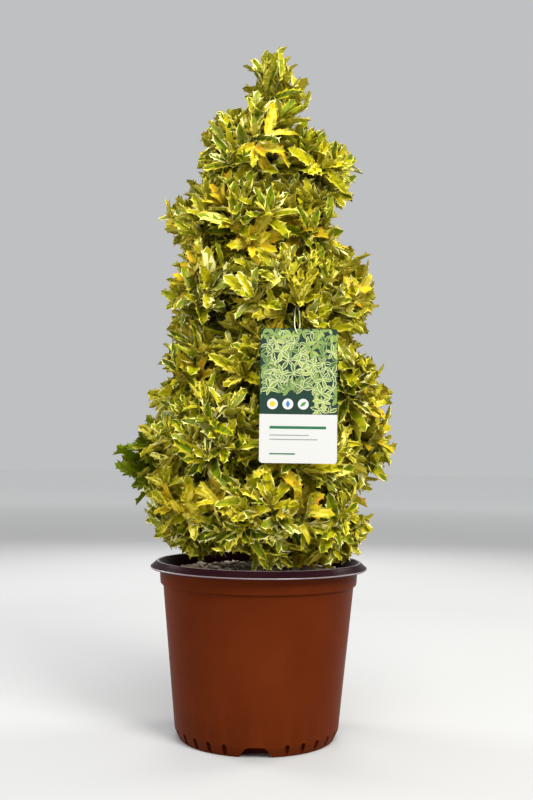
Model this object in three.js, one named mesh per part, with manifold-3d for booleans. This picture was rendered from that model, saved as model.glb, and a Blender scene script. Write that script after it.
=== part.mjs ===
// A golden variegated holly, grown as a dense pyramid in a round nursery pot, with its hanging label.
// Millimetres, +Z up. The origin is the middle of the pot's flat underside, and the plant's front faces -Y.
import * as THREE from "three";
import { mergeVertices } from "three/addons/utils/BufferGeometryUtils.js";
import Module from "manifold-3d";

const wasm = await Module();
wasm.setup();

// ---- Driving dimensions ----

const gap = 0.3; // between solids that rest on or meet each other
const space = 1.2; // that leaves and twigs keep from limbs and label
const goldenAngle = 137.5; // degrees from one leaf or twig to the next round a shoot

const pot = {
  height: 223,
  footRadius: 100, // of the ring that the pot stands on
  footEdge: 1.5, // how much that ring's lower corner is cut back
  footHeight: 12, // from there up the wall is straight
  wallLow: 105, // outer radius of the wall there
  wallHigh: 123.2, // and just under the collar
  collarFrom: 193,
  collarLow: 126.6,
  collarHigh: 128,
  lipUnderside: 212,
  lipRadius: 140,
  lipEdge: 3, // how thick the lip's outer edge is
  rollRadius: 131.5, // the highest ring of the lip
  wall: 2,
  floor: 3,
  step: 18, // height of the raised ring inside, over the drain openings
  sides: 30,
};
const drain = { count: 4, height: 13, widthLow: 41, widthHigh: 23, depth: 20 }; // openings in the foot

const soil = { edge: 208, mound: 213, moundRadius: 34, sides: 18 }; // heights of its surface

// The leading stem: where its middle passes, and its radius at each of those points.
const trunk = {
  points: [
    [0, 0, 213.3],
    [0, 0, 220],
    [0, 0, 232],
    [-5, 4, 350],
    [3, -2, 500],
    [7, 3, 640],
    [14, 0, 745],
    [16, 0, 800],
  ],
  radii: [14, 10.6, 9.2, 8.2, 6.8, 5.2, 3.8, 2.8],
  sides: 7,
  steps: 14,
};

// Each tier is a ring of foliage masses. height is that of its middle, drift is how far that lies to the
// right of the pot's middle, turn is the bearing of its first mass, and sag is how far its widest level lies
// under its middle. reaches are how far the leaf tips of each mass get from the middle, and lifts are how
// much higher than the ring each one sits.
const tiers = [
  {
    name: "skirt",
    height: 283,
    drift: 0,
    turn: -90,
    sag: -20,
    reaches: [150, 156, 150, 148, 158],
    lifts: [6, -6, 4, -4, 8],
  },
  {
    name: "low",
    height: 369,
    drift: -2,
    turn: -54,
    sag: 4,
    reaches: [158, 188, 168, 196, 160],
    lifts: [-12, 12, -8, -18, 14],
  },
  {
    name: "waist",
    height: 463,
    drift: 9,
    turn: -90,
    sag: 10,
    reaches: [146, 168, 150, 152, 164],
    lifts: [10, -14, 12, -8, 0],
  },
  {
    name: "middle",
    height: 562,
    drift: 11,
    turn: -65,
    sag: 12,
    reaches: [158, 156, 146, 150],
    lifts: [-20, 14, -12, 9],
  },
  {
    name: "shoulder",
    height: 661,
    drift: -2,
    turn: -30,
    sag: 20,
    reaches: [134, 126, 146, 132],
    lifts: [-14, 10, 16, -8],
  },
  {
    name: "upper",
    height: 750,
    drift: 18,
    turn: -20,
    sag: 36,
    reaches: [122, 108, 124],
    lifts: [-10, 12, 4],
  },
];
const top = { height: 836, reach: 66, depth: 73, drift: 17 }; // the mass round the leading shoot
const barrel = 130; // half height of the rounded outline that a tier's leaf tips keep to

// A bough's rise is for each unit of its reach, and least is its shortest reach.
const bough = { root: 3.6, tip: 2.6, rise: 0.5, stagger: 7, least: 17, sides: 4, steps: 2 };
const stem = { root: 2.4, tip: 1.9, bend: 14, sides: 3, steps: 2 };
const twig = { count: 5, root: 2.1, tip: 1.6, sides: 3, spread: 0.86, rise: 46, short: 26, least: 14 };
const leaf = { length: 52, width: 25, thick: 2, fold: 4.5, curl: 4, sunk: 0.9, perTwig: 6, second: 0.78 };
const leavesPerMass = 15;
const firstSeed = 6100; // of the masses' own random numbers
const core = { set: 46, radius: 62, depth: 32, lumps: 0.12 }; // depth: how far the leaves stand out of it

const label = { width: 91, height: 158, thick: 0.8, corner: 4, left: -0.9, front: -142, bottom: 349.2 };
const labelHole = { radius: 3, drop: 8, aside: -2.5 }; // from the label's top edge, and from its middle
const loop = { radius: 0.6, rings: 36, sides: 5 };
const peg = { mass: "middle_1", at: [42.1, -117, 538.5], past: 14 }; // the shoot that bears the label's loop

// The loop's route, from inside the label's hole up the front, over the peg and down behind, measured from
// the hole's middle: how far to the right, back and up.
const loopRoute = [
  [0, 0, 2],
  [-0.3, -2.2, 3.6],
  [-0.8, -2.4, 7],
  [-1.5, -1.2, 11.6],
  [-2.6, 10.6, 26],
  [-2.9, 21.6, 36.4],
  [0, 25, 42.2],
  [2.9, 21.6, 36.4],
  [2.6, 10.6, 25.6],
  [1.2, 2.6, 11],
  [0.6, 2.4, 5.6],
  [0.2, 2, 2.6],
];

// ---- Small tools ----

const vector = (x, y, z) => new THREE.Vector3(x, y, z);
const radians = THREE.MathUtils.degToRad;
const mix = THREE.MathUtils.lerp;

// The same numbers each run: a plain linear congruential generator.
function seeded(seed) {
  let state = seed;
  const next = () => {
    state = (Math.imul(state, 1664525) + 1013904223) >>> 0;
    return state / 4294967296;
  };
  next();
  next();
  return (low, high) => low + (high - low) * next();
}

// A geometry as a closed solid, with its shared corners merged.
function solidOf(geometry) {
  const bare = geometry.clone();
  for (const name of ["normal", "uv"]) bare.deleteAttribute(name);
  const merged = mergeVertices(bare, 1e-4);
  return new wasm.Manifold(
    new wasm.Mesh({
      numProp: 3,
      vertProperties: merged.attributes.position.array,
      triVerts: new Uint32Array(merged.index.array),
    }),
  );
}

// A solid as a geometry that three.js can draw.
function geometryOf(solid) {
  const mesh = solid.getMesh();
  const geometry = new THREE.BufferGeometry();
  geometry.setAttribute("position", new THREE.BufferAttribute(new Float32Array(mesh.vertProperties), 3));
  geometry.setIndex(new THREE.BufferAttribute(new Uint32Array(mesh.triVerts), 1));
  geometry.computeVertexNormals();
  return geometry;
}

// Joins solids and keeps the one large body, so that loose scraps go and sealed hollows are filled.
function fuse(solids) {
  const joined = solids.reduce((all, next) => all.add(next));
  return joined
    .decompose()
    .reduce((a, b) => (b.volume() > a.volume() ? b : a))
    .simplify(0.01);
}

const overlaps = (a, b) => !a.intersect(b).isEmpty();

const cornersOf = (geometry) => {
  const place = geometry.attributes.position;
  return Array.from({ length: place.count }, (_, i) => vector().fromBufferAttribute(place, i));
};

// Two directions square to a third.
function squareTo(direction) {
  const side = vector(0, 0, 1).cross(direction);
  if (side.length() < 0.05) side.set(1, 0, 0).cross(direction);
  side.normalize();
  return [side, direction.clone().cross(side)];
}

// A direction that leans away from another by an angle, towards a bearing round it.
function leaning(direction, lean, bearing) {
  const [side, other] = squareTo(direction);
  return direction
    .clone()
    .multiplyScalar(Math.cos(lean))
    .addScaledVector(side, Math.sin(lean) * Math.cos(bearing))
    .addScaledVector(other, Math.sin(lean) * Math.sin(bearing));
}

// A tapering limb: a cylinder bent along a curve. radiusAt gives its radius from 0, its root, to 1, its tip.
function limb(curve, radiusAt, sides, steps) {
  const geometry = new THREE.CylinderGeometry(1, 1, 1, sides, steps);
  const place = geometry.attributes.position;
  const [side] = squareTo(curve.getTangent(0));
  for (let i = 0; i < place.count; i++) {
    const along = 0.5 - place.getY(i);
    const tangent = curve.getTangent(along);
    const across = side.clone().addScaledVector(tangent, -side.dot(tangent)).normalize();
    const other = across.clone().cross(tangent);
    const point = curve.getPoint(along);
    point.addScaledVector(across, place.getX(i) * radiusAt(along));
    point.addScaledVector(other, -place.getZ(i) * radiusAt(along));
    place.setXYZ(i, point.x, point.y, point.z);
  }
  return geometry;
}

const straight = (from, to) => new THREE.LineCurve3(from, to);
const taper = (root, tip) => (along) => mix(root, tip, along);

// ---- Pot and soil ----

function turned(profile, sides) {
  const points = profile.map(([radius, height]) => new THREE.Vector2(radius, height));
  return new THREE.LatheGeometry(points, sides).rotateX(Math.PI / 2);
}

// The inner radius of the pot's straight wall at a height.
function potInside(height) {
  const share = (height - pot.footHeight) / (pot.collarFrom - pot.footHeight);
  return mix(pot.wallLow, pot.wallHigh, share) - pot.wall;
}

// Wedges through the foot, each wider at the ground than at its top.
function drainOpenings() {
  const outline = new THREE.Shape([
    new THREE.Vector2(-drain.widthLow / 2, -1),
    new THREE.Vector2(drain.widthLow / 2, -1),
    new THREE.Vector2(drain.widthHigh / 2, drain.height),
    new THREE.Vector2(-drain.widthHigh / 2, drain.height),
  ]);
  return Array.from({ length: drain.count }, (_, i) => {
    const wedge = new THREE.ExtrudeGeometry(outline, { depth: drain.depth + 10, bevelEnabled: false });
    wedge.rotateX(Math.PI / 2).translate(0, drain.depth - pot.footRadius, 0);
    return solidOf(wedge.rotateZ((i * 2 * Math.PI) / drain.count));
  });
}

// A thin shell: up the outside from the middle of the underside, over the lip and down the inside. Its floor
// is raised over the drain openings, which leaves a standing ring round it.
function potGeometry() {
  const heelInside = pot.footRadius - drain.depth;
  const collarInside = potInside(pot.collarFrom);
  const profile = [
    [0, 0],
    [pot.footRadius - pot.footEdge, 0],
    [pot.footRadius, pot.footEdge],
    [pot.wallLow, pot.footHeight],
    [pot.wallHigh, pot.collarFrom],
    [pot.collarLow, pot.collarFrom + 1.5],
    [pot.collarHigh, pot.lipUnderside],
    [pot.lipRadius, pot.lipUnderside + 1.5],
    [pot.lipRadius, pot.lipUnderside + 1.5 + pot.lipEdge],
    [pot.rollRadius + 1.5, pot.height - 1],
    [pot.rollRadius - 0.5, pot.height],
    [pot.rollRadius - 2.5, pot.height - 2],
    [collarInside + 1.5, pot.lipUnderside],
    [collarInside, pot.collarFrom],
    [potInside(pot.step), pot.step + 2],
    [heelInside, pot.step],
    [heelInside - 4, pot.floor],
    [0, pot.floor],
  ];
  const shell = solidOf(turned(profile, pot.sides));
  return geometryOf(drainOpenings().reduce((left, wedge) => left.subtract(wedge), shell));
}

function soilGeometry() {
  const clear = gap + 0.8; // the pot's facets come a little inside its true round
  const heelInside = pot.footRadius - drain.depth;
  const rim = potInside(pot.collarFrom) - clear;
  const profile = [
    [0, pot.floor + gap],
    [heelInside - 4 - clear, pot.floor + gap],
    [heelInside - clear, pot.step + gap],
    [potInside(pot.step) - clear, pot.step + 2 + gap],
    [rim, pot.collarFrom],
    [rim, soil.edge - 4],
    [rim - 8, soil.edge],
    [soil.moundRadius, soil.mound - 1],
    [soil.moundRadius - 14, soil.mound],
    [0, soil.mound],
  ];
  return turned(profile, soil.sides);
}

// ---- Trunk ----

const trunkCurve = new THREE.CatmullRomCurve3(trunk.points.map(([x, y, z]) => vector(x, y, z)));

function trunkRadius(along) {
  const at = along * (trunk.radii.length - 1);
  const low = Math.min(Math.floor(at), trunk.radii.length - 2);
  return mix(trunk.radii[low], trunk.radii[low + 1], at - low);
}

function trunkGeometry(extra = 0) {
  return limb(trunkCurve, (along) => trunkRadius(along) + extra, trunk.sides, trunk.steps);
}

// The middle of the trunk at a height.
function trunkAt(height) {
  let [low, high] = [0, 1];
  for (let i = 0; i < 20; i++) {
    const half = (low + high) / 2;
    if (trunkCurve.getPoint(half).z < height) low = half;
    else high = half;
  }
  return trunkCurve.getPoint(low);
}

// ---- Where each mass of foliage lies, and the bough that bears it ----

function tierMasses(tier, tierIndex) {
  return tier.reaches.map((reach, i) => {
    const bearing = radians(tier.turn + (i * 360) / tier.reaches.length);
    const outwards = vector(Math.cos(bearing), Math.sin(bearing), 0);
    const level = vector(tier.drift, 0, tier.height + tier.lifts[i]);
    const heart = level.clone().addScaledVector(outwards, reach - core.depth - core.set);
    const inner = trunkAt(heart.z - 18);
    const away = heart.clone().sub(inner).setZ(0);
    const root = inner.clone().add(away.clone().setLength(Math.max(bough.least, 0.5 * away.length())));
    const footHeight = root.z - bough.rise * away.length() + (i % 2 ? bough.stagger : -bough.stagger);
    return {
      name: `${tier.name}_${i + 1}`,
      middle: level.clone().setZ(level.z - tier.sag),
      limits: vector(reach, reach, barrel),
      heart,
      axis: outwards,
      aimAt: (aside, above) => {
        const turned = bearing + (aside * Math.PI) / tier.reaches.length;
        const aim = vector(Math.cos(turned), Math.sin(turned), 0).multiplyScalar(reach).add(level);
        aim.z += above * twig.rise;
        return aim;
      },
      foot: trunkAt(Math.max(footHeight, soil.mound + 12)),
      root,
      seed: firstSeed + 100 * tierIndex + i,
    };
  });
}

const leader = {
  name: "leader",
  middle: vector(top.drift, 0, top.height),
  limits: vector(top.reach, top.reach, top.depth),
  heart: vector(top.drift, 0, top.height - 6),
  axis: vector(0, 0, 1),
  aimAt: (aside, above) => {
    const way = leaning(vector(0, 0, 1), 1.9 * Math.hypot(aside, above), Math.atan2(above, aside));
    return way.multiply(leader.limits).add(leader.middle);
  },
  root: trunkCurve.getPoint(1),
  seed: firstSeed + 900,
};
const ringedMasses = tiers.flatMap(tierMasses);
const masses = [...ringedMasses, leader];

// The flat walls half way between a mass's heart and its neighbours', and the one that keeps it over the lip.
function wallsOf(mass) {
  const walls = [new THREE.Plane(vector(0, 0, 1), -(pot.height + space))];
  for (const other of masses) {
    if (other === mass) continue;
    const half = mass.heart.clone().lerp(other.heart, 0.5);
    const normal = mass.heart.clone().sub(other.heart).normalize();
    walls.push(new THREE.Plane(normal, -normal.dot(half) - gap));
  }
  return walls;
}

for (const mass of masses) mass.walls = wallsOf(mass);

// Whether a point lies within a mass's own reach, less a depth, and on its side of every wall.
function inRoom(mass, point, depth = 0) {
  if (point.clone().sub(mass.middle).divide(mass.limits.clone().subScalar(depth)).length() > 1) return false;
  return mass.walls.every((wall) => wall.distanceToPoint(point) > 0);
}

// How far the room goes on from a point.
function roomAlong(mass, from, way, depth = 0) {
  let [near, far] = [0, 2 * mass.limits.x];
  for (let i = 0; i < 12; i++) {
    const half = (near + far) / 2;
    if (inRoom(mass, from.clone().addScaledVector(way, half), depth)) near = half;
    else far = half;
  }
  return near;
}

function boughCurve(mass) {
  const sag = mass.foot.clone().lerp(mass.root, 0.5);
  sag.z -= 4;
  return new THREE.QuadraticBezierCurve3(mass.foot, sag, mass.root);
}

function boughGeometry(mass, extra = 0) {
  return limb(boughCurve(mass), taper(bough.root + extra, bough.tip + extra), bough.sides, bough.steps);
}

// ---- The rule that each mass grows by ----

// The stem goes straight on from the bough's tip, then bends to the mass's own bearing.
function stemCurve(mass) {
  const onwards = (mass.foot ? boughCurve(mass) : trunkCurve).getTangent(1);
  const from = mass.root.clone().addScaledVector(onwards, gap);
  const bend = from.clone().addScaledVector(onwards, stem.bend);
  const to = mass.heart.clone().addScaledVector(mass.axis, 0.3 * stem.bend);
  return new THREE.QuadraticBezierCurve3(from, bend, to);
}

// Twigs leave the stem a golden angle apart, and are dealt evenly over the mass's outer face. Each stops
// short of the face by what its leaves need.
function twigsOf(mass, random) {
  const curve = stemCurve(mass);
  const phase = random(0, 360);
  const twigs = [];
  for (let i = 0; i < twig.count; i++) {
    const out = twig.spread * Math.sqrt((i + 0.5) / twig.count);
    const round = radians(phase + i * goldenAngle);
    const from = curve.getPoint(1 - 0.8 * out);
    const way = mass.aimAt(out * Math.cos(round), out * Math.sin(round)).sub(from).normalize();
    const length = roomAlong(mass, from, way) - twig.short * random(0.9, 1.1);
    if (length > twig.least) twigs.push({ from, to: from.clone().addScaledVector(way, length) });
  }
  if (mass.name === peg.mass) twigs.push(pegShoot(curve.getPoint(0.2)));
  return twigs;
}

// The shoot that goes under the label's loop and a little past it.
function pegShoot(from) {
  const at = vector(...peg.at);
  const way = at.clone().sub(from).normalize();
  return { from, to: at.addScaledVector(way, peg.past) };
}

// Leaves stand round a twig a golden angle apart, from nearly square to it up to the one that leads at its
// tip.
function leavesOf({ from, to }, random) {
  const along = to.clone().sub(from);
  const way = along.clone().normalize();
  const phase = random(0, 360);
  const leaves = [];
  for (let i = 0; i < leaf.perTwig; i++) {
    const share = i / (leaf.perTwig - 1);
    const lean = radians(mix(86, 50, share) + random(-7, 7));
    const length = leaf.length * random(0.86, 1.06);
    const base = to.clone().addScaledVector(way, -mix(9, 0.8, share));
    leaves.push({ base, heading: leaning(way, lean, radians(phase + i * goldenAngle)), up: way, length });
  }
  return leaves.reverse();
}

// One leaf of eight faces: a thick root end sunk in its twig, two raised sides, a midrib, and a tip that
// curls down.
function leafGeometry({ base, heading, up, length }, share) {
  const long = length * share;
  const width = (leaf.width * long) / leaf.length;
  const across = up.clone().cross(heading).normalize();
  const over = heading.clone().cross(across);
  const start = base.clone().addScaledVector(heading, -leaf.sunk);
  const at = (along, aside, above) =>
    start
      .clone()
      .addScaledVector(heading, along * long)
      .addScaledVector(across, aside * width)
      .addScaledVector(over, above);
  const corners = {
    left: at(0.48, 0.5, leaf.fold),
    right: at(0.48, -0.5, leaf.fold),
    tip: at(1, 0, -leaf.curl),
    root: start,
    keel: at(0.3, 0, -leaf.thick / 2),
    midrib: at(0.3, 0, leaf.thick / 2),
  };
  const geometry = new THREE.OctahedronGeometry(1, 0);
  const place = geometry.attributes.position;
  for (let i = 0; i < place.count; i++) {
    const [x, y, z] = [place.getX(i), place.getY(i), place.getZ(i)].map(Math.round);
    const lengthways = x > 0 ? "tip" : "root";
    const sideways = y > 0 ? "left" : "right";
    const name = x !== 0 ? lengthways : y !== 0 ? sideways : z > 0 ? "midrib" : "keel";
    place.setXYZ(i, corners[name].x, corners[name].y, corners[name].z);
  }
  return geometry;
}

// The lumpy core of a mass, which its twigs and leaves stand out of. It keeps to the mass's own side of the
// walls.
function coreGeometry(mass) {
  const geometry = new THREE.SphereGeometry(1, 8, 4).rotateX(Math.PI / 2);
  const place = geometry.attributes.position;
  for (let i = 0; i < place.count; i++) {
    const way = vector().fromBufferAttribute(place, i).normalize();
    const lump = 1 + core.lumps * Math.sin(5 * way.x + 3 * way.y + mass.seed) * Math.cos(4 * way.z);
    const far = Math.min(core.radius * lump, roomAlong(mass, mass.heart, way, core.depth) - gap);
    const point = mass.heart.clone().addScaledVector(way, far);
    place.setXYZ(i, point.x, point.y, point.z);
  }
  return geometry;
}

// Grows a mass in its own room. A twig or leaf that would leave the room, or touch an obstacle or another
// leaf, is left out. A leaf is first tried at its full length, then shorter.
function grow(mass, obstacles) {
  const random = seeded(mass.seed);
  const inside = (geometry) => cornersOf(geometry).every((corner) => inRoom(mass, corner));
  const fits = (geometry, solid) => inside(geometry) && !obstacles.some((body) => overlaps(solid, body));
  const heart = obstacles.reduce((left, body) => left.subtract(body), solidOf(coreGeometry(mass)));
  const parts = [heart, solidOf(limb(stemCurve(mass), taper(stem.root, stem.tip), stem.sides, stem.steps))];
  const kept = [];
  const rounds = twigsOf(mass, random).map((shoot) => {
    const leaves = leavesOf(shoot, random);
    const geometry = limb(straight(shoot.from, shoot.to), taper(twig.root, twig.tip), twig.sides, 1);
    const solid = solidOf(geometry);
    if (!fits(geometry, solid)) return [];
    parts.push(solid);
    return leaves;
  });
  // The leading leaf of every twig comes first, so that a full mass goes without its innermost leaves.
  for (let i = 0; i < leaf.perTwig; i++) {
    for (const leaves of rounds) {
      for (const share of [1, leaf.second]) {
        if (!leaves[i] || kept.length >= leavesPerMass) break;
        const geometry = leafGeometry(leaves[i], share);
        const solid = solidOf(geometry);
        if (!fits(geometry, solid) || [heart, ...kept].some((other) => overlaps(solid, other))) continue;
        kept.push(solid);
        break;
      }
    }
  }
  return geometryOf(fuse([...parts, ...kept]));
}

// ---- Label ----

const labelTop = label.bottom + label.height;
const holeMiddle = vector(
  label.left + label.width / 2 + labelHole.aside,
  label.front + label.thick / 2,
  labelTop - labelHole.drop,
);

function labelGeometry() {
  const { width, height, corner } = label;
  const outline = new THREE.Shape()
    .absarc(width - corner, corner, corner, -Math.PI / 2, 0)
    .absarc(width - corner, height - corner, corner, 0, Math.PI / 2)
    .absarc(corner, height - corner, corner, Math.PI / 2, Math.PI)
    .absarc(corner, corner, corner, Math.PI, 1.5 * Math.PI);
  outline.closePath();
  const hole = new THREE.Path();
  hole.absarc(width / 2 + labelHole.aside, height - labelHole.drop, labelHole.radius, 0, 2 * Math.PI, true);
  outline.holes.push(hole);
  const settings = { depth: label.thick, bevelEnabled: false, curveSegments: 4 };
  const card = new THREE.ExtrudeGeometry(outline, settings);
  card.rotateX(Math.PI / 2).translate(label.left, label.front + label.thick, label.bottom);
  return geometryOf(fuse([solidOf(card)]));
}

// The loop has no ends: its route closes on itself, and so does the tube along it.
function loopGeometry(extra = 0) {
  const points = loopRoute.map(([right, back, up]) => vector(right, back, up).add(holeMiddle));
  const route = new THREE.CatmullRomCurve3(points, true);
  return new THREE.TubeGeometry(route, loop.rings, loop.radius + extra, loop.sides, true);
}

// What leaves and twigs keep out of: the label with all that lies in front of it, and the loop.
function labelRooms() {
  const depth = 120;
  const front = new THREE.BoxGeometry(label.width + 2 * space, depth, label.height + 2 * space);
  front.translate(label.left + label.width / 2, label.front + label.thick + space - depth / 2, 0);
  front.translate(0, 0, label.bottom + label.height / 2);
  return [solidOf(front), solidOf(loopGeometry(space / 2))];
}

// ---- The finished plant ----

const plant = new THREE.Group();

function addPiece(name, geometry, material) {
  const mesh = new THREE.Mesh(geometry, material);
  mesh.name = name;
  plant.add(mesh);
}

const brownPlastic = new THREE.MeshStandardMaterial({ color: 0x6b2f1a, roughness: 0.45 });
const bark = new THREE.MeshStandardMaterial({ color: 0x6d6a4a, roughness: 0.85 });
const earth = new THREE.MeshStandardMaterial({ color: 0x3a2a1e, roughness: 1 });
const card = new THREE.MeshStandardMaterial({ color: 0xe9e9e2, roughness: 0.4 });
const cord = new THREE.MeshStandardMaterial({ color: 0xd8d5c4, roughness: 0.5 });
const goldLeaf = new THREE.MeshStandardMaterial({ color: 0xc9b53c, roughness: 0.5 });

addPiece("pot", potGeometry(), brownPlastic);
addPiece("potting_soil", soilGeometry(), earth);
addPiece("trunk", trunkGeometry(), bark);

const trunkRoom = solidOf(trunkGeometry(gap));
for (const mass of ringedMasses) {
  const cut = solidOf(boughGeometry(mass)).subtract(trunkRoom);
  addPiece(`bough_${mass.name}`, geometryOf(fuse([cut])), bark);
}

const boughRooms = ringedMasses.map((mass) => solidOf(boughGeometry(mass, space)));
const obstacles = [solidOf(trunkGeometry(space)), ...boughRooms, ...labelRooms()];
for (const mass of masses) addPiece(`foliage_${mass.name}`, grow(mass, obstacles), goldLeaf);

addPiece("label", labelGeometry(), card);
addPiece("label_loop", loopGeometry(), cord);

export default plant;
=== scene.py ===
# Dresses the potted holly: camera and light, pot, soil, bark, twigs, leaves and the hanging label.
import math

import bpy
import numpy as np
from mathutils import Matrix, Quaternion, Vector


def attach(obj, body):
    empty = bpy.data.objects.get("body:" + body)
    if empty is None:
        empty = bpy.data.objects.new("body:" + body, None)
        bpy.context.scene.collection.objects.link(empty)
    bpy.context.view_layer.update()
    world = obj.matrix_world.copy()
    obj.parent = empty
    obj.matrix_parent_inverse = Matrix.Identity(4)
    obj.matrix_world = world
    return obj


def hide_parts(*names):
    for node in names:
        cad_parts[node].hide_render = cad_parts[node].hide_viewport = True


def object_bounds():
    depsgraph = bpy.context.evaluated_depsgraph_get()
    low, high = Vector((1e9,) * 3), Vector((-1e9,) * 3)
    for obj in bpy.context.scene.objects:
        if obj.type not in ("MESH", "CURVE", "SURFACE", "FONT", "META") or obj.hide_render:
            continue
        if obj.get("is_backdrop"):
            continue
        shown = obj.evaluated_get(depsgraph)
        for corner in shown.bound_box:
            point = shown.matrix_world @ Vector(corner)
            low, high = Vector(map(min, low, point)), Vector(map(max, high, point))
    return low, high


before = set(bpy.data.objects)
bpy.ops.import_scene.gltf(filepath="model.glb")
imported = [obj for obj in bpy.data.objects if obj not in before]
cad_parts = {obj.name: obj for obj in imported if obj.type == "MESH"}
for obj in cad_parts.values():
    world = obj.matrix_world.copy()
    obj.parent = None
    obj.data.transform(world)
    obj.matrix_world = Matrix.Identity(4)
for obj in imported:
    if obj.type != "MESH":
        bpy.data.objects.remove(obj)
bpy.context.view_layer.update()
mm = 0.001

# the camera's place is in millimetres, like all that comes after the stage: its near and far limits, the
# lights and the floor are in metres
cameraPlan = {
    "place": (7.1, -1280, 349.6), "pitch": 3.67, "roll": 0.8,
    "lens": 43.88, "film": 36, "near": 0.05, "far": 50,
}
lightPlan = [
    # name, place, aimed at, width, watts, colour
    ("keyLight", (1.2, -1.8, 1.95), (0, 0, 0.7), 0.9, 76, (1.0, 0.98, 0.93)),
    ("fillLight", (-1.9, -1.7, 0.9), (0, 0, 0.4), 1.5, 18, (0.90, 0.91, 1.0)),
    ("leftRim", (-1.7, 0.9, 1.2), (0, 0, 0.4), 0.8, 26, (0.97, 0.98, 1.0)),
    ("rightRim", (1.7, 0.9, 1.4), (0, 0, 0.6), 0.8, 26, (1.0, 0.98, 0.92)),
    ("backLight", (0, 2.3, 1.5), (0, 0, 0.3), 1.3, 22, (1.0, 1.0, 1.0)),
    ("topLight", (0.1, -1.2, 2.3), (0, 0, 0.85), 1.0, 34, (1.0, 1.0, 0.97)),
]
skyTone = {"colour": (0.90, 0.91, 0.92), "strength": 0.58}
# the floor is paler further off: how far, and how pale
floorPlan = {"size": 60, "near": (1.2, 0.42), "far": (7.0, 0.97)}


def setInputs(material, node, values):  # each value is a plain one, or a node with the output to run in
    for name, value in values.items():
        if isinstance(value, tuple) and isinstance(value[0], bpy.types.Node):
            material.node_tree.links.new(value[0].outputs[value[1]], node.inputs[name])
        else:
            node.inputs[name].default_value = value


def setShader(material, values):
    setInputs(material, material.node_tree.nodes["Principled BSDF"], values)


def plainMaterial(name, colour, roughness, specular=0.5, bending=1.5):
    material = bpy.data.materials.new(name)
    material.use_nodes = True
    setShader(material, {
        "Base Color": (*colour, 1), "Roughness": roughness, "Specular IOR Level": specular, "IOR": bending,
    })
    return material


def addNode(material, kind, values={}):
    node = material.node_tree.nodes.new(f"ShaderNode{kind}")
    setInputs(material, node, values)
    return node


def addRamp(material, source, dark, light, low=0.0, high=1.0):
    node = addNode(material, "ValToRGB", {"Fac": source})
    for stop, tone, position in zip(node.color_ramp.elements, (dark, light), (low, high)):
        stop.color = (*tone, 1)
        stop.position = position
    return node


def floorMaterial():
    material = plainMaterial("paleFloor", (0.42, 0.42, 0.42), 0.8, specular=0.2)
    (near, nearTone), (far, farTone) = floorPlan["near"], floorPlan["far"]
    place = addNode(material, "TexCoord")
    away = addNode(material, "VectorMath", {0: (place, "Object")})
    away.operation = "LENGTH"
    tone = addNode(material, "MapRange", {
        "Value": (away, "Value"), "From Min": near, "From Max": far, "To Min": nearTone, "To Max": farTone,
    })
    setShader(material, {"Base Color": (tone, "Result")})
    return material


def makeStage():
    scene = bpy.context.scene
    camera = bpy.data.cameras.new("studioCamera")
    camera.lens = cameraPlan["lens"]
    camera.sensor_width = cameraPlan["film"]
    camera.clip_start = cameraPlan["near"]
    camera.clip_end = cameraPlan["far"]
    cameraObject = bpy.data.objects.new("studioCamera", camera)
    cameraObject.location = Vector(cameraPlan["place"]) * mm
    cameraObject.rotation_mode = "QUATERNION"
    upright = Quaternion((1, 0, 0), math.radians(90 + cameraPlan["pitch"]))
    cameraObject.rotation_quaternion = upright @ Quaternion((0, 0, 1), math.radians(cameraPlan["roll"]))
    scene.collection.objects.link(cameraObject)
    scene.camera = cameraObject
    for name, place, aim, width, watts, colour in lightPlan:
        light = bpy.data.lights.new(name, "AREA")
        light.shape = "SQUARE"
        light.size = width
        light.energy = watts
        light.color = colour
        lightObject = bpy.data.objects.new(name, light)
        lightObject.location = place
        lightObject.rotation_euler = (Vector(aim) - Vector(place)).to_track_quat("-Z", "Y").to_euler()
        scene.collection.objects.link(lightObject)
    world = bpy.data.worlds.new("softStudio")
    world.use_nodes = True
    background = world.node_tree.nodes["Background"]
    background.inputs["Color"].default_value = (*skyTone["colour"], 1)
    background.inputs["Strength"].default_value = skyTone["strength"]
    scene.world = world
    scene.view_settings.view_transform = "Standard"
    bpy.ops.mesh.primitive_plane_add(size=floorPlan["size"])
    floor = bpy.context.active_object
    floor.name = "studioFloor"
    floor.data.materials.append(floorMaterial())
    floor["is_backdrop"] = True


makeStage()
print("stage set")


# small tools

def seeded(seed):  # the same numbers each run
    state = seed

    def draw():
        nonlocal state
        state = (state * 1664525 + 1013904223) % 4294967296
        return state / 4294967296

    draw()
    draw()
    return lambda low, high: low + (high - low) * draw()


def oneOf(random, count):  # a whole number below the count
    return int(random(0, count - 0.001))


def vec(x, y, z):
    return np.array((x, y, z), float)


def unit(direction):
    return direction / np.linalg.norm(direction)


def mix(low, high, share):
    return low + (high - low) * share


def cross(a, b):
    return vec(a[1] * b[2] - a[2] * b[1], a[2] * b[0] - a[0] * b[2], a[0] * b[1] - a[1] * b[0])


def splineAt(points, along, closed=False):  # centripetal Catmull-Rom
    count = len(points)
    place = along * (count if closed else count - 1)
    first = math.floor(place)
    share = place - first
    if not closed and first >= count - 1:
        first, share = count - 2, 1.0
    b, c = points[first % count], points[(first + 1) % count]
    a = points[(first - 1) % count] if closed or first > 0 else 2 * b - c
    d = points[(first + 2) % count] if closed or first + 2 < count else 2 * c - b
    one, two, three = (max(float(np.dot(q - p, q - p)) ** 0.25, 1e-4) for p, q in ((a, b), (b, c), (c, d)))
    leave = ((b - a) / one - (c - a) / (one + two) + (c - b) / two) * two
    arrive = ((c - b) / two - (d - b) / (two + three) + (d - c) / three) * two
    bend = -3 * b + 3 * c - 2 * leave - arrive
    twist = 2 * b - 2 * c + leave + arrive
    return b + share * (leave + share * (bend + share * twist))


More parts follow.
